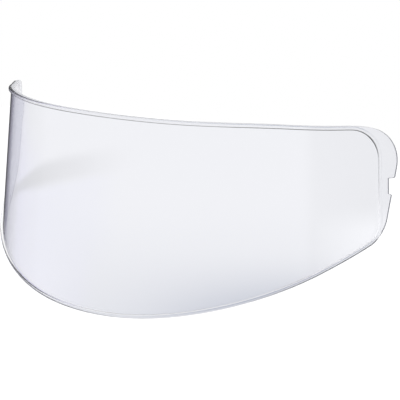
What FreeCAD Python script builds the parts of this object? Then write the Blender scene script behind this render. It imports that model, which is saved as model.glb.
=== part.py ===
import FreeCAD
import Part
import math
import os
from FreeCAD import Vector
Vector2d = FreeCAD.Base.Vector2d

Flat = Part.Geom2d

# Anti-fog insert lens of a motorcycle helmet visor, in millimetres and degrees.
# +Z is up, the rounded front faces -Y and the left and right halves mirror about X = 0.
# The lens follows a cone about the Z axis that widens downwards, and ends in flat tabs tangent to the cone.
# Its outline is drawn flat, s along the outer face and z up, and then laid on the cone and the flats.

# Clear sheet
front_radius = 110.0
curved_half_length = 100.7
draft_angle = 6.0
sheet_thickness = 1.4
half_length = 138.7
top_rise = 39.8
bottom_drop = 46.6

# Rounded ear above the notch, and the rounded corner below it
ear_radius = 14.6
ear_level = 19.8
ear_top_angle = 74.0
end_lean_angle = 11.8
corner_radius = 16.1
corner_level = -1.3
corner_foot_angle = -63.4

# Notch for the visor's locating pin, in each end
notch_height = 6.6
notch_level = 9.1
notch_floor_inset = 4.1
notch_lip_radius = 0.7

# Silicone bead on the outer face, which seals the air gap between lens and visor
bead_width = 1.6
bead_height = 1.2
bead_bevel = 0.45
bead_edge_margin = 0.15
bead_end_inset = 8.3
bead_top_corner_radius = 14.0
bead_low_corner_radius = 9.0

# The upper and lower edges between the middle and the end: share of the run, share of the fall
TOP_EDGE_SHARES = ((0.40, 0.13), (0.66, 0.32), (0.86, 0.655))
BOTTOM_EDGE_SHARES = ((0.22, 0.052), (0.42, 0.194), (0.61, 0.393), (0.81, 0.667))

# Modelling allowances
cut_overrun = 5.0
offset_tolerance = 0.0001
join_tolerance = 0.005

lean = math.radians(end_lean_angle)
draft = math.radians(draft_angle)


def point_on_circle(centre, radius, angle):
    return Vector2d(centre.x + radius * math.cos(angle), centre.y + radius * math.sin(angle))


def straight(start, end):
    return Flat.Line2dSegment(start, end).toBSpline()


def arc(centre, radius, low_angle, high_angle):
    circle = Flat.Circle2d(centre, radius)
    return Flat.ArcOfCircle2d(circle, low_angle, high_angle).toBSpline()


def smooth(points, start_direction, end_direction):
    curve = Flat.BSplineCurve2d()
    curve.interpolate(Points=points, InitialTangent=start_direction, FinalTangent=end_direction)
    return curve


def edge_curve(middle_height, join, shares, end_direction):
    points = [Vector2d(0, middle_height)]
    for run_share, fall_share in shares:
        points.append(Vector2d(run_share * join.x, middle_height + fall_share * (join.y - middle_height)))
    points.append(join)
    return smooth(points, Vector2d(1, 0), end_direction)


ear_centre = Vector2d(half_length - ear_radius, ear_level)
corner_shift = ear_radius - corner_radius + (corner_level - ear_level) * math.sin(lean)
corner_centre = Vector2d(ear_centre.x + corner_shift / math.cos(lean), corner_level)
ear_top = math.radians(ear_top_angle)
corner_foot = math.radians(corner_foot_angle)
top_join = point_on_circle(ear_centre, ear_radius, ear_top)
bottom_join = point_on_circle(corner_centre, corner_radius, corner_foot)
top_direction = Vector2d(math.sin(ear_top), -math.cos(ear_top))
bottom_direction = Vector2d(-math.sin(corner_foot), math.cos(corner_foot))
top_curve = edge_curve(top_rise, top_join, TOP_EDGE_SHARES, top_direction)
bottom_curve = edge_curve(-bottom_drop, bottom_join, BOTTOM_EDGE_SHARES, bottom_direction)


def sheet_outline():
    """Right half of the sheet's outline, from the middle of the top to the middle of the bottom."""
    ear_foot = point_on_circle(ear_centre, ear_radius, -lean)
    corner_top = point_on_circle(corner_centre, corner_radius, -lean)
    return [
        top_curve,
        arc(ear_centre, ear_radius, -lean, ear_top),
        straight(ear_foot, corner_top),
        arc(corner_centre, corner_radius, corner_foot, -lean),
        bottom_curve,
    ]


# Where the middle of the bead runs: a depth in from the sheet's edge, and straight up and down at each end
bead_depth = bead_edge_margin + bead_width / 2
bead_end = half_length - bead_end_inset


def inset_point(curve, parameter, inward, depth):
    """A point moved in from one of the sheet's edges, and the direction of the edge there."""
    point = curve.value(parameter)
    direction = curve.tangent(parameter)
    size = math.hypot(direction.x, direction.y)
    direction = Vector2d(direction.x / size, direction.y / size)
    moved = Vector2d(point.x - inward * depth * direction.y, point.y + inward * depth * direction.x)
    return moved, direction


def upper_corner():
    """Corner circle that touches both the bead's upper run and its end run."""
    low = top_curve.FirstParameter
    high = top_curve.LastParameter
    reach = bead_depth + bead_top_corner_radius
    for _ in range(50):
        touch = (low + high) / 2
        centre, direction = inset_point(top_curve, touch, -1, reach)
        if centre.x + bead_top_corner_radius < bead_end:
            low = touch
        else:
            high = touch
    return touch, centre, math.atan2(direction.x, -direction.y)


def lower_corner():
    """Corner circle inside the sheet's own lower corner that also touches the bead's end run."""
    x = bead_end - bead_low_corner_radius
    across = x - corner_centre.x
    between = corner_radius - bead_depth - bead_low_corner_radius
    y = corner_centre.y - math.sqrt(between * between - across * across)
    return Vector2d(x, y), math.atan2(y - corner_centre.y, across)


def inset_run(curve, last_parameter, inward, depth):
    """One of the sheet's edges moved in by a depth, from the middle to a parameter."""
    first = curve.FirstParameter
    steps = 2 * len(BOTTOM_EDGE_SHARES)
    points = []
    for step in range(steps + 1):
        parameter = first + (last_parameter - first) * step / steps
        point, direction = inset_point(curve, parameter, inward, depth)
        points.append(point)
    return smooth(points, Vector2d(1, 0), direction)


def bead_outline(depth):
    """Right half of a loop that runs round with the bead, a depth in from the sheet's edge."""
    touch, upper_centre, upper_angle = upper_corner()
    lower_centre, lower_angle = lower_corner()
    outward = bead_depth - depth
    upper_radius = bead_top_corner_radius + outward
    lower_radius = bead_low_corner_radius + outward
    upper_foot = point_on_circle(upper_centre, upper_radius, 0)
    lower_top = point_on_circle(lower_centre, lower_radius, 0)
    return [
        inset_run(top_curve, touch, -1, depth),
        arc(upper_centre, upper_radius, 0, upper_angle),
        straight(upper_foot, lower_top),
        arc(lower_centre, lower_radius, lower_angle, 0),
        arc(corner_centre, corner_radius - depth, corner_foot, lower_angle),
        inset_run(bottom_curve, bottom_curve.LastParameter, 1, depth),
    ]


# The outer face: a cone in the middle, and from the turn onwards a flat on each side
turn = curved_half_length / front_radius
cone_half_height = top_rise + bottom_drop
cone_spread = cone_half_height * math.tan(draft)
cone_height = 2 * cone_half_height
cone_foot = Vector(0, 0, -cone_half_height)
cone = Part.makeCone(front_radius + cone_spread, front_radius - cone_spread, cone_height, cone_foot)
cone_surface = [face.Surface for face in cone.Faces if isinstance(face.Surface, Part.Cone)][0]
front_u, datum_v = cone_surface.parameter(Vector(0, -front_radius, 0))


def flat_surface(side):
    """Plane that touches the cone at the right turn (side 1) or the left (side -1), its axes s and height."""
    start = Vector(side * front_radius * math.sin(turn), -front_radius * math.cos(turn), 0)
    along = Vector(math.cos(turn), side * math.sin(turn), 0)
    up = Vector(-side * math.sin(turn) * math.sin(draft), math.cos(turn) * math.sin(draft), math.cos(draft))
    return Part.Plane(start, start + along, start + up)


def laid_edge(curve, surface, side):
    """A flat curve laid on the cone or on one of the flats, mirrored to the left where side is -1."""
    poles = []
    for pole in curve.getPoles():
        height = pole.y / math.cos(draft)
        if surface is cone_surface:
            poles.append(Vector2d(front_u + side * pole.x / front_radius, datum_v + height))
        else:
            poles.append(Vector2d(side * (pole.x - curved_half_length), height))
    laid = Flat.BSplineCurve2d()
    laid.buildFromPolesMultsKnots(
        poles, curve.getMultiplicities(), curve.getKnots(), False, curve.Degree, curve.getWeights()
    )
    return laid.toShape(surface)


def crossing(curve):
    """Parameter at which a flat curve crosses the turn."""
    low, high = curve.FirstParameter, curve.LastParameter
    rising = curve.value(high).x > curve.value(low).x
    for _ in range(50):
        middle = (low + high) / 2
        if (curve.value(middle).x < curved_half_length) == rising:
            low = middle
        else:
            high = middle
    return middle


def stretch(curve, first, last):
    part = curve.copy()
    part.segment(first, last)
    return part


def split_at_turn(half_outline):
    """The parts of a half outline on the cone, those on the flat, and the straight line between them."""
    curved, flat, ends = [], [], []
    for curve in half_outline:
        first, last = curve.FirstParameter, curve.LastParameter
        first_curved = curve.value(first).x < curved_half_length
        last_curved = curve.value(last).x < curved_half_length
        if first_curved == last_curved:
            (curved if first_curved else flat).append(curve)
            continue
        cut = crossing(curve)
        ends.append(curve.value(cut))
        pieces = (stretch(curve, first, cut), stretch(curve, cut, last))
        curved.append(pieces[0] if first_curved else pieces[1])
        flat.append(pieces[1] if first_curved else pieces[0])
    return curved, flat, straight(*ends)


def face_on(surface, edges):
    face = Part.Face(surface, Part.Wire(Part.__sortEdges__(edges)))
    if not face.isValid():
        face.validate()
    return face


def laid_faces(half_outline):
    """The outer face inside a half outline and its mirror image: middle, right flat and left flat."""
    curved, flat, seam = split_at_turn(half_outline)
    middle = [laid_edge(curve, cone_surface, side) for side in (1, -1) for curve in curved + [seam]]
    faces = [face_on(cone_surface, middle)]
    for side in (1, -1):
        surface = flat_surface(side)
        faces.append(face_on(surface, [laid_edge(curve, surface, side) for curve in flat + [seam]]))
    return faces


def thickened(faces, thickness):
    """A solid on each part of the outer face, square to it and outwards when thickness is positive."""
    return [face.makeOffsetShape(thickness, offset_tolerance, fill=True) for face in faces]


def fused(solids):
    """One solid of several that meet face to face, whose edges run on within the join's tolerance."""
    first, *others = solids
    return first.fuse(others, join_tolerance).Solids[0]


def height_above(point):
    """How far a point stands off the outer face, square to it."""
    if math.atan2(abs(point.x), -point.y) < turn:
        reach = math.hypot(point.x, point.y)
    else:
        reach = abs(point.x) * math.sin(turn) - point.y * math.cos(turn)
    return (reach - front_radius) * math.cos(draft) + point.z * math.sin(draft)


def run_past_turn(point):
    """How far along the flat a point lies, from the turn."""
    return abs(point.x) * math.cos(turn) + point.y * math.sin(turn)


notch_floor_run = half_length - notch_floor_inset - curved_half_length


def notch_cutter(side):
    """Block that cuts one end's notch, with its floor square to the flat."""
    width = notch_floor_inset + cut_overrun
    depth = sheet_thickness + 2 * cut_overrun
    corner = Vector(notch_floor_run, -front_radius - cut_overrun, notch_level - notch_height / 2)
    if side < 0:
        corner.x = -notch_floor_run - width
    block = Part.makeBox(width, depth, notch_height, corner)
    block.rotate(Vector(0, 0, 0), Vector(0, 0, 1), side * math.degrees(turn))
    return block


def is_notch_lip(edge):
    """True for the short edges that cross the sheet's thickness at the mouth of a notch."""
    start = edge.valueAt(edge.FirstParameter)
    end = edge.valueAt(edge.LastParameter)
    crosses_sheet = abs(height_above(start) - height_above(end)) > sheet_thickness / 2
    on_wall = abs(abs(start.z - notch_level) - notch_height / 2) < offset_tolerance
    level = abs(start.z - end.z) < offset_tolerance
    beyond_floor = run_past_turn(start) > notch_floor_run + notch_lip_radius
    return crosses_sheet and on_wall and level and beyond_floor


def make_lens():
    """Clear curved sheet with rounded ears and a notch cut in each end."""
    sheet = fused(thickened(laid_faces(sheet_outline()), -sheet_thickness))
    for side in (1, -1):
        sheet = sheet.cut(notch_cutter(side)).Solids[0]
    lips = [edge for edge in sheet.Edges if is_notch_lip(edge)]
    return sheet.makeFillet(notch_lip_radius, lips)


def is_crest(face):
    """True for a face whose every corner stands as high as the bead."""
    return all(abs(height_above(corner.Point) - bead_height) < offset_tolerance for corner in face.Vertexes)


def at_turn(edge):
    """True for an edge that lies in the plane where the cone turns into a flat."""
    return all(abs(run_past_turn(corner.Point)) < offset_tolerance for corner in edge.Vertexes)


def bevelled(length):
    """One length of the bead with its crest bevelled on both sides, and square where it meets the next."""
    crest_edges = [edge for face in length.Faces if is_crest(face) for edge in face.Edges]
    rims = [edge for edge in crest_edges if sum(edge.isSame(other) for other in crest_edges) == 1]
    return length.makeChamfer(bead_bevel, [edge for edge in rims if not at_turn(edge)])


def make_seal_bead():
    """Closed silicone loop on the outer face: a run above and below on the cone, and the end of each flat."""
    around = thickened(laid_faces(bead_outline(bead_edge_margin)), bead_height)
    hollow = thickened(laid_faces(bead_outline(bead_edge_margin + bead_width)), bead_height + cut_overrun)
    lengths = [length for outer, inner in zip(around, hollow) for length in outer.cut(inner).Solids]
    return fused([bevelled(length) for length in lengths])


def to_part_origin(pieces):
    """Shift that puts the origin under the middle of the part's box, at its lowest point."""
    box = Part.makeCompound(list(pieces.values())).optimalBoundingBox(False)
    return Vector(0, -(box.YMin + box.YMax) / 2, -box.ZMin)


def notch_floor_middle(side):
    reach = front_radius - notch_level * math.tan(draft) - sheet_thickness / 2
    x = reach * math.sin(turn) + notch_floor_run * math.cos(turn)
    y = notch_floor_run * math.sin(turn) - reach * math.cos(turn)
    return Vector(side * x, y, notch_level)


def main():
    os.makedirs("parts", exist_ok=True)
    pieces = {"lens": make_lens(), "seal_bead": make_seal_bead()}
    shift = to_part_origin(pieces)
    print("cone axis and datum level moved by", shift)
    print("middle of the right notch's floor", notch_floor_middle(1) + shift)
    for name, shape in pieces.items():
        shape.translate(shift)
        print(name, shape.isValid(), len(shape.Solids), shape.Volume, shape.optimalBoundingBox(False))
        shape.exportStep(os.path.join("parts", name + ".step"))


main()
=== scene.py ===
import math
import bpy
import numpy as np
from mathutils.geometry import delaunay_2d_cdt
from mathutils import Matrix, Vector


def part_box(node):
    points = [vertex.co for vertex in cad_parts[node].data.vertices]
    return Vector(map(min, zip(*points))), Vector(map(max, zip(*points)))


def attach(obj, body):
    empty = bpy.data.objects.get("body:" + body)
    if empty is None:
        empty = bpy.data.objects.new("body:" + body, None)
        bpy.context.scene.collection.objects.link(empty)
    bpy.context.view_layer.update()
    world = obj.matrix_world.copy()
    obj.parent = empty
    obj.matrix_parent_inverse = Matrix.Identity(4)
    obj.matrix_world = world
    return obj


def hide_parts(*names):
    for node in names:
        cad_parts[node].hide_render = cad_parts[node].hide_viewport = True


# Anti-fog insert lens of a helmet visor: a clear curved sheet with a silicone bead on its outer face.
# The outer face is a cone in the middle and a flat at each end.
# Outlines are worked out flat, in millimetres along (s) and up (z) that face, and then laid on it.

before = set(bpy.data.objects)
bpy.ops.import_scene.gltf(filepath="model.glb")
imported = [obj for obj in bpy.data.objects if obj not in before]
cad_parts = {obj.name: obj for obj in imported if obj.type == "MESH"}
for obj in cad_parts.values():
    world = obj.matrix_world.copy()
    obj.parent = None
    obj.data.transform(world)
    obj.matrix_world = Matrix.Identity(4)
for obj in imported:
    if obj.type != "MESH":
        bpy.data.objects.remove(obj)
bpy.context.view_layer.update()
MM = 0.001

# Clear sheet
front_radius = 110.0
curved_half_length = 100.7
draft = math.radians(6.0)
sheet_thickness = 1.4
half_length = 138.7
top_rise = 39.8
bottom_drop = 46.6
ear_radius = 14.6
ear_level = 19.8
ear_top = math.radians(74.0)
end_lean = math.radians(11.8)
corner_radius = 16.1
corner_level = -1.3
corner_foot = math.radians(-63.4)
rim_round = 0.15

# Points of the top and bottom edges: shares of the way out to the corner, and of the fall or rise on it
TOP_EDGE_SHARES = ((0.40, 0.13), (0.66, 0.32), (0.86, 0.655))
BOTTOM_EDGE_SHARES = ((0.22, 0.052), (0.42, 0.194), (0.61, 0.393), (0.81, 0.667))

# Notch in each end
notch_height = 6.6
notch_level = 9.1
notch_floor_inset = 4.1
notch_lip_radius = 0.7
notch_root_radius = 0.3

# Silicone bead
bead_width = 1.6
bead_height = 1.2
bead_edge_margin = 0.15
bead_end_inset = 8.3
bead_top_corner_radius = 14.0
bead_low_corner_radius = 9.0
bead_crest_round = 0.5
bead_foot_round = 0.08
bead_lift = 0.01

# Mesh steps
least_steps = 2
run_step = 1.5
arc_step = math.radians(4.0)
small_arc_step = math.radians(15.0)
grid_step = 4.0
grid_clearance = grid_step / 3
section_steps = 6
same_point = notch_root_radius / 10
fill_tolerance = rim_round / 1000

# Asks the triangulation for nothing outside its border
inside_only = 1

# Place of the cut edge's finish among those of the lens
cut_edge_index = 1

# Turns from facing out of the sheet to facing back, at the rings round its outer and inner edge
OUTER_EDGE_TURNS = np.radians((30, 60, 90))
INNER_EDGE_TURNS = np.radians((90, 120, 150))

# The cone's axis and datum level in the row frame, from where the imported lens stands
lens_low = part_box("lens")[0]
axis_y = lens_low.y / MM + front_radius + bottom_drop * math.tan(draft)
datum_z = lens_low.z / MM + bottom_drop + sheet_thickness * math.sin(draft)

# Middles of the two round corners at the right end, whose arcs both touch the leaning end edge
ear_centre = np.array((half_length - ear_radius, ear_level))
corner_shift = ear_radius - corner_radius + (corner_level - ear_level) * math.sin(end_lean)
corner_centre = np.array((ear_centre[0] + corner_shift / math.cos(end_lean), corner_level))


def unit(vector):
    vector = np.asarray(vector, float)
    return vector / np.linalg.norm(vector)


def smooth_run(points, start_direction, end_direction):
    """A smooth curve through points, with its direction given at both ends."""
    points = np.asarray(points, float)
    chords = np.linalg.norm(np.diff(points, axis=0), axis=1)
    count = len(points)
    system = np.eye(count)
    slopes = np.zeros((count, 2))
    slopes[0] = unit(start_direction)
    slopes[-1] = unit(end_direction)
    for i in range(1, count - 1):
        before, after = chords[i - 1], chords[i]
        system[i, i - 1 : i + 2] = after, 2 * (before + after), before
        rise_before = (points[i] - points[i - 1]) / before
        rise_after = (points[i + 1] - points[i]) / after
        slopes[i] = 3 * (after * rise_before + before * rise_after)
    slopes = np.linalg.solve(system, slopes)
    run = [points[0]]
    for i, chord in enumerate(chords):
        steps = max(least_steps, math.ceil(chord / run_step))
        for k in range(1, steps + 1):
            share = k / steps
            bend = share * share * (3 - 2 * share)
            leave = share * (1 - share) ** 2 * chord
            arrive = share * share * (share - 1) * chord
            place = points[i] * (1 - bend) + points[i + 1] * bend
            run.append(place + leave * slopes[i] + arrive * slopes[i + 1])
    return np.array(run)


def on_circle(centre, radius, angle):
    return np.array((centre[0] + radius * math.cos(angle), centre[1] + radius * math.sin(angle)))


def arc_run(centre, radius, first, last, step=arc_step):
    steps = max(least_steps, math.ceil(abs(last - first) / step))
    angles = np.linspace(first, last, steps + 1)
    return np.column_stack((centre[0] + radius * np.cos(angles), centre[1] + radius * np.sin(angles)))


def corner_run(before, corner, after, radius):
    """The arc that rounds a corner between two straight stretches."""
    corner = np.asarray(corner, float)
    back = unit(np.asarray(before, float) - corner)
    on = unit(np.asarray(after, float) - corner)
    half = math.acos(np.clip(back @ on, -1, 1)) / 2
    centre = corner + unit(back + on) * radius / math.sin(half)
    first = corner + back * radius / math.tan(half) - centre
    last = corner + on * radius / math.tan(half) - centre
    start = math.atan2(first[1], first[0])
    turn = math.atan2(first[0] * last[1] - first[1] * last[0], first @ last)
    return arc_run(centre, radius, start, start + turn, small_arc_step)


def edge_run(middle_level, join, shares, end_direction):
    """The top or bottom edge, from the middle of the sheet to where it joins a round corner."""
    points = [(0, middle_level)]
    for run_share, fall_share in shares:
        points.append((run_share * join[0], middle_level + fall_share * (join[1] - middle_level)))
    points.append(tuple(join))
    return smooth_run(points, (1, 0), end_direction)


top_run = edge_run(
    top_rise,
    on_circle(ear_centre, ear_radius, ear_top),
    TOP_EDGE_SHARES,
    (math.sin(ear_top), -math.cos(ear_top)),
)
bottom_run = edge_run(
    -bottom_drop,
    on_circle(corner_centre, corner_radius, corner_foot),
    BOTTOM_EDGE_SHARES,
    (-math.sin(corner_foot), math.cos(corner_foot)),
)


def moved_right(run, depth):
    """A run moved square to itself, to the right of the way it goes. It starts out level."""
    ahead = np.gradient(run, axis=0)
    ahead /= np.linalg.norm(ahead, axis=1)[:, None]
    ahead[0] = (1, 0)
    return run + depth * np.column_stack((ahead[:, 1], -ahead[:, 0]))


def joined(runs):
    """Runs end to end, with each shared point kept once."""
    line = [runs[0]]
    for run in runs[1:]:
        shared = np.linalg.norm(run[0] - line[-1][-1]) < same_point
        line.append(run[1:] if shared else run)
    return np.concatenate(line)


def closed(half):
    """A whole loop from its right half, which goes from the top middle to the bottom middle."""
    left = half[-2:0:-1] * (-1, 1)
    return np.concatenate((half, left))


def outward(loop):
    """The direction square to a clockwise loop at each point, away from its inside."""
    ahead = np.roll(loop, -1, axis=0) - loop
    ahead /= np.linalg.norm(ahead, axis=1)[:, None]
    mean = ahead + np.roll(ahead, 1, axis=0)
    mean /= np.linalg.norm(mean, axis=1)[:, None]
    return np.column_stack((-mean[:, 1], mean[:, 0]))


def sheet_half():
    """Right half of the sheet's outline, with the notch in it."""
    foot = on_circle(ear_centre, ear_radius, -end_lean)
    head = on_circle(corner_centre, corner_radius, -end_lean)
    floor = half_length - notch_floor_inset

    def on_end(level):
        share = (foot[1] - level) / (foot[1] - head[1])
        return foot + share * (head - foot)

    upper = notch_level + notch_height / 2
    lower = notch_level - notch_height / 2
    corners = [foot, on_end(upper), (floor, upper), (floor, lower), on_end(lower), head]
    radii = (notch_lip_radius, notch_root_radius, notch_root_radius, notch_lip_radius)
    rounds = [corner_run(*corners[i : i + 3], radius) for i, radius in enumerate(radii)]
    return joined(
        [top_run, arc_run(ear_centre, ear_radius, ear_top, -end_lean)]
        + rounds
        + [arc_run(corner_centre, corner_radius, -end_lean, corner_foot), bottom_run[::-1]]
    )


def bead_half():
    """Right half of the line that the middle of the bead follows.

    It keeps one depth inside the sheet's edges. Its top corner touches that line and the bead's end,
    and its low corner touches the bead's end and the sheet's low corner moved in by the same depth.
    """
    depth = bead_edge_margin + bead_width / 2
    end = half_length - bead_end_inset
    centres = moved_right(top_run, depth + bead_top_corner_radius)
    beyond = centres[:, 0] + bead_top_corner_radius - end
    touch = int(np.argmax(beyond >= 0))
    share = -beyond[touch - 1] / (beyond[touch] - beyond[touch - 1])
    upper_centre = centres[touch - 1] + share * (centres[touch] - centres[touch - 1])
    upper = moved_right(top_run, depth)
    meet = upper[touch - 1] + share * (upper[touch] - upper[touch - 1])
    upper_angle = math.atan2(*(meet - upper_centre)[::-1])
    across = end - bead_low_corner_radius - corner_centre[0]
    between = corner_radius - depth - bead_low_corner_radius
    lower_centre = corner_centre + (across, -math.sqrt(between * between - across * across))
    lower_angle = math.atan2(*(lower_centre - corner_centre)[::-1])
    return joined(
        [
            np.vstack((upper[:touch], meet)),
            arc_run(upper_centre, bead_top_corner_radius, upper_angle, 0),
            arc_run(lower_centre, bead_low_corner_radius, 0, lower_angle),
            arc_run(corner_centre, corner_radius - depth, lower_angle, corner_foot),
            moved_right(bottom_run, -depth)[::-1],
        ]
    )


def on_curve(points):
    """How far along the curved middle each flat point lies, or its end for a point on a flat."""
    return np.clip(points[:, 0], -curved_half_length, curved_half_length)


def face_axes(points):
    """Unit directions along, up and square to the outer face at flat points."""
    turn = on_curve(points) / front_radius
    sine, cosine, zero = np.sin(turn), np.cos(turn), 0 * turn
    lean, rise = math.sin(draft), math.cos(draft)
    along = np.column_stack((cosine, sine, zero))
    up = np.column_stack((-sine * lean, cosine * lean, zero + rise))
    square = np.column_stack((sine * rise, -cosine * rise, zero + lean))
    return along, up, square


def loop_axes(loop, away):
    """Unit directions out of a flat loop along the face, and square to the face."""
    along, up, square = face_axes(loop)
    return away[:, :1] * along + away[:, 1:] * up, square


def on_face(points, height):
    """Flat points laid on the outer face in the row frame, in metres, at a height above it."""
    turn = on_curve(points) / front_radius
    radius = front_radius - points[:, 1] * math.tan(draft)
    level = points[:, 1] + datum_z
    foot = np.column_stack((radius * np.sin(turn), axis_y - radius * np.cos(turn), level))
    along, up, square = face_axes(points)
    past_turn = (points[:, 0] - on_curve(points)).reshape(-1, 1)
    return (foot + past_turn * along + height * square) * MM


def new_piece(name, places, faces, normals):
    """A smooth mesh object with exact normals."""
    mesh = bpy.data.meshes.new(name)
    mesh.from_pydata([tuple(place) for place in places], [], faces)
    mesh.polygons.foreach_set("use_smooth", [True] * len(mesh.polygons))
    mesh.normals_split_custom_set_from_vertices([tuple(normal) for normal in normals])
    mesh.validate()
    mesh.update()
    piece = bpy.data.objects.new(name, mesh)
    bpy.context.scene.collection.objects.link(piece)
    return piece


def ring_from(first, count):
    return list(range(first, first + count))


def band(upper, lower):
    """Quads between two closed rings of vertices."""
    count = len(upper)
    return [
        (upper[i], upper[(i + 1) % count], lower[(i + 1) % count], lower[i])
        for i in range(count)
    ]


def clear_inside(point, loop):
    """True for a point inside a loop and not too near its edge."""
    following = np.roll(loop, -1, axis=0)
    spans = (loop[:, 1] > point[1]) != (following[:, 1] > point[1])
    rise = np.where(spans, following[:, 1] - loop[:, 1], 1)
    crossing = loop[:, 0] + (point[1] - loop[:, 1]) / rise * (following[:, 0] - loop[:, 0])
    inside = np.count_nonzero(spans & (crossing > point[0])) % 2 == 1
    return inside and np.linalg.norm(loop - point, axis=1).min() > grid_clearance


def filled(loop):
    """Flat triangles that fill a loop, with a grid of points inside it, and the ring of its edge."""
    low, high = loop.min(axis=0), loop.max(axis=0)
    grid = [
        (s, z)
        for s in np.arange(low[0], high[0], grid_step)
        for z in np.arange(low[1], high[1], grid_step)
        if clear_inside((s, z), loop)
    ]
    points = [tuple(point) for point in loop] + grid
    border = list(range(len(loop)))[::-1]
    places, _, triangles, sources = delaunay_2d_cdt(points, [], [border], inside_only, fill_tolerance)[:4]
    ring = [0] * len(loop)
    for index, originals in enumerate(sources):
        for original in originals:
            if original < len(loop):
                ring[original] = index
    return np.array([tuple(place) for place in places]), triangles, ring


def make_lens():
    """The clear sheet: its two faces, and a cut rim with slightly rounded edges."""
    loop = closed(sheet_half())
    away = outward(loop)
    flat, triangles, front_ring = filled(loop - rim_round * away)
    facing = face_axes(flat)[2]
    places = [on_face(flat, 0), on_face(flat, -sheet_thickness)]
    normals = [facing, -facing]
    faces = [tuple(triangle) for triangle in triangles]
    faces += [tuple(i + len(flat) for i in triangle[::-1]) for triangle in triangles]
    rim_first = len(faces)
    side, square = loop_axes(loop, away)
    rings = [front_ring]
    outer_edge = [(-rim_round, turn) for turn in OUTER_EDGE_TURNS]
    inner_edge = [(rim_round - sheet_thickness, turn) for turn in INNER_EDGE_TURNS]
    for level, turn in outer_edge + inner_edge:
        inset = rim_round * (1 - math.sin(turn))
        rings.append(ring_from(sum(map(len, places)), len(loop)))
        places.append(on_face(loop - inset * away, level + rim_round * math.cos(turn)))
        normals.append(math.cos(turn) * square + math.sin(turn) * side)
    rings.append([i + len(flat) for i in front_ring])
    for upper, lower in zip(rings, rings[1:]):
        faces += band(upper, lower)
    lens = new_piece("clear_lens", np.concatenate(places), faces, np.concatenate(normals))
    for polygon in lens.data.polygons[rim_first:]:
        polygon.material_index = cut_edge_index
    return lens


def bead_section():
    """Points and directions round the bead's section, across it and up from the sheet.

    Each corner has its arc's middle, its radius and where its quarter turn starts, in degrees.
    """
    foot, crest = bead_foot_round, bead_crest_round
    half = bead_width / 2
    corners = (
        (half - foot, bead_lift + foot, foot, -90),
        (half - crest, bead_height - crest, crest, 0),
        (crest - half, bead_height - crest, crest, 90),
        (foot - half, bead_lift + foot, foot, 180),
    )
    section = []
    for across, height, radius, start in corners:
        for turn in np.radians(np.linspace(start, start + 90, section_steps + 1)):
            direction = (math.cos(turn), math.sin(turn))
            section.append((across + radius * direction[0], height + radius * direction[1], direction))
    return section


def make_bead():
    """The silicone bead: its rounded section carried round the closed line."""
    loop = closed(bead_half())
    away = outward(loop)
    side, square = loop_axes(loop, away)
    places, normals, faces, rings = [], [], [], []
    for across, height, direction in bead_section():
        rings.append(ring_from(len(rings) * len(loop), len(loop)))
        places.append(on_face(loop + across * away, height))
        normals.append(direction[0] * side + direction[1] * square)
    for ring, following in zip(rings, rings[1:] + rings[:1]):
        faces += band(following, ring)
    return new_piece("clear_bead", np.concatenate(places), faces, np.concatenate(normals))


# Sockets of a Mix node that carry its factor, its two colours and its result
MIX_INPUTS = (0, 6, 7)
mix_result = 2


class Nodes:
    """A short way to build a node tree."""

    def __init__(self, tree):
        self.tree = tree
        tree.nodes.clear()

    def add(self, kind, **settings):
        node = self.tree.nodes.new(kind)
        for name, value in settings.items():
            setattr(node, name, value)
        return node

    def link(self, source, target):
        self.tree.links.new(source, target)

    def feed(self, socket, value):
        if isinstance(value, bpy.types.NodeSocket):
            self.link(value, socket)
        else:
            socket.default_value = value

    def math(self, operation, first, second=0.0):
        node = self.add("ShaderNodeMath", operation=operation)
        self.feed(node.inputs[0], first)
        self.feed(node.inputs[1], second)
        return node.outputs[0]

    def times(self, first, second):
        return self.math("MULTIPLY", first, second)

    def mix(self, factor, first, second):
        node = self.add("ShaderNodeMix", data_type="RGBA")
        for index, source in zip(MIX_INPUTS, (factor, first, second)):
            self.feed(node.inputs[index], source)
        return node.outputs[mix_result]

    def blend(self, factor, first, second):
        node = self.add("ShaderNodeMixShader")
        for socket, source in zip(node.inputs, (factor, first, second)):
            self.feed(socket, source)
        return node.outputs[0]

    def dot(self, vector, fixed):
        node = self.add("ShaderNodeVectorMath", operation="DOT_PRODUCT")
        self.link(vector, node.inputs[0])
        node.inputs[1].default_value = fixed
        return node.outputs["Value"]

    def ramp(self, value, low, high, bottom=0.0, top=1.0):
        node = self.add("ShaderNodeMapRange", interpolation_type="SMOOTHSTEP")
        for socket, number in zip(node.inputs, (value, low, high, bottom, top)):
            self.feed(socket, number)
        return node.outputs[0]

    def fall(self, value, low, high):
        """1 below a low value, 0 above a high one."""
        return self.ramp(value, low, high, 1.0, 0.0)

    def noise(self, scale):
        place = self.add("ShaderNodeTexCoord").outputs["Object"]
        node = self.add("ShaderNodeTexNoise")
        self.link(place, node.inputs["Vector"])
        node.inputs["Scale"].default_value = scale
        return node.outputs["Fac"]

    def surface(self, base, roughness, ior):
        """A plastic surface, whose colour and roughness may vary."""
        shader = self.add("ShaderNodeBsdfPrincipled")
        self.feed(shader.inputs["Base Color"], base)
        self.feed(shader.inputs["Roughness"], roughness)
        shader.inputs["IOR"].default_value = ior
        return shader


# Noise in the finishes: its scales per metre, and the values between which most of it lies
wave_scale = 14.0
polish_scale = 160.0
cut_grain_scale = 900.0
NOISE_SPREAD = (0.2, 0.8)

# Clear finishes: how far the noise takes tint and roughness, and how strong the moulding waves are
clear_tint_share = 0.985
ROUGHNESS_SHARES = (0.6, 1.4)
wave_strength = 0.3
absorption_density = 60.0

# Clear sheet: tint, colour that it leaves of light passing through, and depth of its waves
SHEET_TINT = (0.9, 0.906, 0.938)
SHEET_ABSORPTION = (0.855, 0.865, 0.919)
sheet_ior = 1.49
sheet_roughness = 0.012
sheet_wave_depth = 0.02

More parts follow.
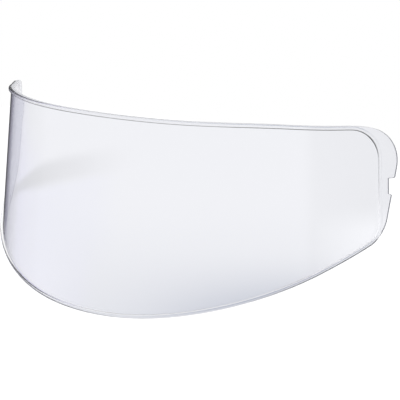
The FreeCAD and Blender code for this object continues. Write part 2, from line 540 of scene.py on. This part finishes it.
# Its cut edge
CUT_TINT = (0.9, 0.91, 0.93)
cut_tint_share = 0.94
CUT_ROUGHNESS = (0.4, 0.6)

# Silicone
SILICONE_TINT = (0.99, 0.99, 0.99)
SILICONE_ABSORPTION = (0.90, 0.903, 0.91)
silicone_ior = 1.3
silicone_roughness = 0.1
silicone_wave_depth = 0.005


def new_material(name):
    material = bpy.data.materials.new(name)
    material.use_nodes = True
    return material, Nodes(material.node_tree)


def varied_tint(nodes, noise, tint, share):
    """A tint that goes down to a share of itself with the noise."""
    deeper = tuple(share * channel for channel in tint)
    return nodes.mix(noise, (*tint, 1), (*deeper, 1))


def clear_material(name, tint, ior, roughness, absorption, wave_depth):
    """A clear plastic: a glassy surface with faint moulding waves, and a body that takes a little light."""
    material, nodes = new_material(name)
    waves = nodes.noise(wave_scale)
    rough_range = [share * roughness for share in ROUGHNESS_SHARES]
    shader = nodes.surface(
        varied_tint(nodes, waves, tint, clear_tint_share),
        nodes.ramp(nodes.noise(polish_scale), *NOISE_SPREAD, *rough_range),
        ior,
    )
    shader.inputs["Transmission Weight"].default_value = 1.0
    bump = nodes.add("ShaderNodeBump")
    bump.inputs["Strength"].default_value = wave_strength
    bump.inputs["Distance"].default_value = wave_depth * MM
    nodes.link(waves, bump.inputs["Height"])
    nodes.link(bump.outputs[0], shader.inputs["Normal"])
    body = nodes.add("ShaderNodeVolumeAbsorption")
    body.inputs["Color"].default_value = (*absorption, 1)
    body.inputs["Density"].default_value = absorption_density
    out = nodes.add("ShaderNodeOutputMaterial")
    nodes.link(shader.outputs[0], out.inputs["Surface"])
    nodes.link(body.outputs[0], out.inputs["Volume"])
    return material


def sheet_material():
    return clear_material(
        "clear_sheet", SHEET_TINT, sheet_ior, sheet_roughness, SHEET_ABSORPTION, sheet_wave_depth
    )


def silicone_material():
    return clear_material(
        "silicone",
        SILICONE_TINT,
        silicone_ior,
        silicone_roughness,
        SILICONE_ABSORPTION,
        silicone_wave_depth,
    )


def cut_edge_material():
    """The sheet's matt cut edge, with fine grain."""
    material, nodes = new_material("cut_edge")
    grain = nodes.noise(cut_grain_scale)
    shader = nodes.surface(
        varied_tint(nodes, grain, CUT_TINT, cut_tint_share),
        nodes.ramp(grain, *NOISE_SPREAD, *CUT_ROUGHNESS),
        sheet_ior,
    )
    out = nodes.add("ShaderNodeOutputMaterial")
    nodes.link(shader.outputs[0], out.inputs["Surface"])
    return material


# Panels that the clear pieces mirror. Each has the azimuth and elevation of its middle, its half width and
# half height, and how far its sides and its top and bottom fade, in degrees. Its level comes last.
# The left panels are narrow, and let the front panel's light fall in steps that run into each other.
front_elevation = -10.0
front_half_height = 30.0
front_fade = 12.0
FRONT_PANEL = (0.0, front_elevation, 68.0, front_half_height, front_fade, front_fade, 0.85)
LEFT_FALL = ((-80.0, 0.68), (-92.0, 0.62), (-104.0, 0.46), (-116.0, 0.32))
LEFT_PANELS = [
    (azimuth, front_elevation, 0.0, front_half_height, front_fade, front_fade, level)
    for azimuth, level in LEFT_FALL
]
RIGHT_SOFTBOX = (95.0, -20.0, 16.0, 13.4, 5.5, 1.7, 1.75)
BACK_PANEL = (180.0, -22.0, 36.0, 24.0, 4.0, 8.0, 0.88)
HIGH_BACK_PANEL = (-164.0, 20.0, 16.0, 14.0, 8.0, 8.0, 0.7)
CEILING_PANEL = (0.0, 80.0, 180.0, 30.0, 1.0, 15.0, 0.6)
STUDIO_PANELS = (
    FRONT_PANEL,
    *LEFT_PANELS,
    RIGHT_SOFTBOX,
    BACK_PANEL,
    HIGH_BACK_PANEL,
    CEILING_PANEL,
)
studio_base = 0.12

# Where the studio turns violet
VIOLET_PANELS = (
    (-66.0, -13.0, 22.0, 3.0, 14.0, 4.0, 1.0),
    (-112.0, 0.0, 12.0, 30.0, 14.0, 10.0, 0.6),
)

# What shows straight through the clear pieces is a white backdrop. Low down it holds painted shade, darker
# and blue, in the listed patches, and it is darker where a flag does. A flag with a level below 0 gives
# back some of that light.
BACKDROP_PAINTED_SHADES = (
    (-153.5, -25.0, 1.3, 0.1, 14.0, 6.8, 0.8),
    (-144.1, -24.5, 4.9, 0.1, 5.2, 9.0, 0.16),
)
SKY_FLAGS = (
    (-144.9, 34.0, 55.0, 34.0, 20.0, 9.0, 0.95),
    (-142.3, 34.0, 3.0, 34.0, 3.0, 9.0, -0.3),
)

# A thin dark strip that rises to the right, mirrored as the smoky band in the left of the sheet, and a
# bluish table below it. A rise or a fall lies between two angles, in degrees across from the strip's
# place or above its line. The half width grows between two such angles from one value to another, and
# the strip fades between two shares of it.
strip_azimuth = -58.0
strip_elevation = -6.5
strip_slope = 0.1
strip_bend = -0.00042
strip_darkness = 0.97
STRIP_HALF_WIDTH = (-40.0, -10.0, 0.5, 1.0)
STRIP_EDGE_SHARES = (0.2, 0.95)
STRIP_RISE = (-60.0, -14.0)
STRIP_FALL = (5.0, 50.0)
TABLE_RISE = (-38.0, 0.0)
TABLE_FALL = (18.0, 42.0)
TABLE_DEPTH_RISE = (-6.0, -3.0)
TABLE_DEPTH_FALL = (-1.0, -0.2)

WHITE = (1.0, 1.0, 1.0, 1.0)
STUDIO_COLOUR = (0.98, 0.98, 1.0, 1.0)
VIOLET_COLOUR = (0.93, 0.91, 1.18, 1.0)
TABLE_COLOUR = (0.74, 0.75, 1.04, 1.0)
# Colour of the backdrop's painted shade
PAINTED_SHADE_COLOUR = (0.0, 0.06, 0.22, 1.0)

# Lies between a count of no reflections and a count of one
first_reflection = 0.5


def straight_through(nodes):
    """1 for a ray that has passed through clear pieces and met no mirror on its way from the camera."""
    path = nodes.add("ShaderNodeLightPath")
    unreflected = nodes.math("LESS_THAN", path.outputs["Glossy Depth"], first_reflection)
    return nodes.times(path.outputs["Is Transmission Ray"], unreflected)


def camera_ray(nodes):
    return nodes.add("ShaderNodeLightPath").outputs["Is Camera Ray"]


def off_angles(nodes, direction, azimuth, elevation):
    """Degrees by which a direction lies to the right of an azimuth and above an elevation."""
    turn = math.radians(azimuth)
    right = nodes.dot(direction, (math.cos(turn), math.sin(turn), 0))
    ahead = nodes.dot(direction, (math.sin(turn), -math.cos(turn), 0))
    height = nodes.dot(direction, (0, 0, 1))
    across = nodes.math("DEGREES", nodes.math("ARCTAN2", right, ahead))
    rise = nodes.math("DEGREES", nodes.math("ARCSINE", height))
    return across, nodes.math("SUBTRACT", rise, elevation)


def panel(nodes, direction, azimuth, elevation, half_width, half_height, side_fade, top_fade, level):
    """A soft-edged panel's level in a direction, which falls to 0 past its edges."""
    across, rise = off_angles(nodes, direction, azimuth, elevation)
    wide = nodes.fall(nodes.math("ABSOLUTE", across), half_width, half_width + side_fade)
    tall = nodes.fall(nodes.math("ABSOLUTE", rise), half_height, half_height + top_fade)
    return nodes.times(nodes.times(wide, tall), level)


def added(nodes, direction, panels, level):
    """A level with those of the panels added to it."""
    for settings in panels:
        level = nodes.math("ADD", level, panel(nodes, direction, *settings))
    return level


def between(nodes, value, rise, fall):
    """1 for a value past a ramp up and short of a ramp down."""
    return nodes.times(nodes.fall(value, *fall), nodes.ramp(value, *rise))


def dark_strip(nodes, direction):
    """How dark the strip is in a direction, and how much of the table below it shows."""
    across, rise = off_angles(nodes, direction, strip_azimuth, strip_elevation)
    bend = nodes.times(nodes.times(across, across), strip_bend)
    line = nodes.math("ADD", nodes.times(across, strip_slope), bend)
    above = nodes.math("SUBTRACT", rise, line)
    half_width = nodes.ramp(across, *STRIP_HALF_WIDTH)
    off_line = nodes.math("DIVIDE", nodes.math("ABSOLUTE", above), half_width)
    core = nodes.fall(off_line, *STRIP_EDGE_SHARES)
    strip = nodes.times(core, between(nodes, across, STRIP_RISE, STRIP_FALL))
    near = between(nodes, above, TABLE_DEPTH_RISE, TABLE_DEPTH_FALL)
    return strip, nodes.times(near, between(nodes, across, TABLE_RISE, TABLE_FALL))


def background(nodes, colour, strength):
    node = nodes.add("ShaderNodeBackground")
    nodes.feed(node.inputs["Color"], colour)
    nodes.feed(node.inputs["Strength"], strength)
    return node.outputs[0]


def mirrored_studio(nodes, direction):
    """What the clear pieces mirror: soft panels, and the dark strip over its table."""
    level = added(nodes, direction, STUDIO_PANELS, studio_base)
    strip, table = dark_strip(nodes, direction)
    kept = nodes.math("SUBTRACT", 1.0, nodes.times(strip, strip_darkness))
    violet = added(nodes, direction, VIOLET_PANELS, 0.0)
    colour = nodes.mix(violet, STUDIO_COLOUR, VIOLET_COLOUR)
    return background(nodes, nodes.mix(table, colour, TABLE_COLOUR), nodes.times(level, kept))


def backdrop(nodes, direction):
    """What shows straight through the clear pieces: a white backdrop with patches of painted shade low
    down.
    """
    # Painted shade: darker, blue patches low in the backdrop
    shade = added(nodes, direction, BACKDROP_PAINTED_SHADES, 0.0)
    sky = nodes.math("SUBTRACT", 1.0, added(nodes, direction, SKY_FLAGS, 0.0))
    return background(nodes, nodes.mix(shade, WHITE, PAINTED_SHADE_COLOUR), sky)


def make_world():
    """The studio, which is plain white to the camera itself."""
    world = bpy.data.worlds.new("studio")
    world.use_nodes = True
    bpy.context.scene.world = world
    nodes = Nodes(world.node_tree)
    direction = nodes.add("ShaderNodeTexCoord").outputs["Generated"]
    studio = mirrored_studio(nodes, direction)
    past_part = nodes.blend(straight_through(nodes), studio, backdrop(nodes, direction))
    seen = nodes.blend(camera_ray(nodes), past_part, background(nodes, WHITE, 1.0))
    out = nodes.add("ShaderNodeOutputWorld")
    nodes.link(seen, out.inputs["Surface"])


# Pale floor, level and half size
floor_level = -150.0
floor_half = 900.0

# Its own colour, and the light that it adds for the camera alone
FLOOR_COLOUR = (0.9, 0.9, 0.9, 1.0)
floor_glow = 0.4


def floor_material():
    """A pale matt floor that glows a little to the camera, and that mirrors and clear pieces don't see."""
    material, nodes = new_material("pale_floor")
    path = nodes.add("ShaderNodeLightPath")
    past_part = nodes.math("MAXIMUM", path.outputs["Is Transmission Ray"], path.outputs["Is Glossy Ray"])
    matt = nodes.add("ShaderNodeBsdfDiffuse")
    matt.inputs["Color"].default_value = FLOOR_COLOUR
    glow = nodes.add("ShaderNodeEmission")
    glow.inputs["Color"].default_value = WHITE
    nodes.link(nodes.times(camera_ray(nodes), floor_glow), glow.inputs["Strength"])
    both = nodes.add("ShaderNodeAddShader")
    nodes.link(matt.outputs[0], both.inputs[0])
    nodes.link(glow.outputs[0], both.inputs[1])
    clear = nodes.add("ShaderNodeBsdfTransparent")
    out = nodes.add("ShaderNodeOutputMaterial")
    nodes.link(nodes.blend(past_part, both.outputs[0], clear.outputs[0]), out.inputs["Surface"])
    return material


def make_floor():
    """A floor well below the part, which is held up by its notches."""
    corners = [
        (x * floor_half * MM, y * floor_half * MM, floor_level * MM)
        for x, y in ((-1, -1), (1, -1), (1, 1), (-1, 1))
    ]
    mesh = bpy.data.meshes.new("floor")
    mesh.from_pydata(corners, [], [(0, 1, 2, 3)])
    floor = bpy.data.objects.new("floor", mesh)
    bpy.context.scene.collection.objects.link(floor)
    mesh.materials.append(floor_material())


# Softbox above and behind the part
lamp_azimuth = 180.0
lamp_elevation = 62.0
lamp_distance = 1500.0
lamp_size = 1600.0
lamp_power = 10.0

# Camera fitted to the photograph's outline
VIEW_TARGET = (21.11, 20.14, 39.52)
view_azimuth = 35.144
view_elevation = 15.805
view_distance = 520.0
focal_length = 103.007
sensor_width = 36.0


def aim(thing, azimuth, elevation, distance, target):
    """Put a camera or lamp at a distance from a target, looking at it."""
    azimuth, elevation = math.radians(azimuth), math.radians(elevation)
    level = math.cos(elevation)
    back = np.array((math.sin(azimuth) * level, -math.cos(azimuth) * level, math.sin(elevation)))
    thing.location = (np.asarray(target) + back * distance) * MM
    thing.rotation_euler = (math.pi / 2 - elevation, 0, azimuth)


def make_lamp():
    lamp = bpy.data.lights.new("top_softbox", "AREA")
    lamp.size = lamp_size * MM
    lamp.energy = lamp_power
    holder = bpy.data.objects.new("top_softbox", lamp)
    bpy.context.scene.collection.objects.link(holder)
    aim(holder, lamp_azimuth, lamp_elevation, lamp_distance, (0, 0, datum_z))


def make_camera():
    camera = bpy.data.cameras.new("camera")
    camera.lens = focal_length
    camera.sensor_width = sensor_width
    holder = bpy.data.objects.new("camera", camera)
    bpy.context.scene.collection.objects.link(holder)
    aim(holder, view_azimuth, view_elevation, view_distance, VIEW_TARGET)
    bpy.context.scene.camera = holder


def dress(piece, materials, node):
    """Give a piece its finishes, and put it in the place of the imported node."""
    for material in materials:
        piece.data.materials.append(material)
    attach(piece, "root")
    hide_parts(node)


dress(make_lens(), (sheet_material(), cut_edge_material()), "lens")
dress(make_bead(), (silicone_material(),), "seal_bead")
make_world()
make_floor()
make_lamp()
make_camera()
bpy.context.scene.view_settings.view_transform = "Standard"
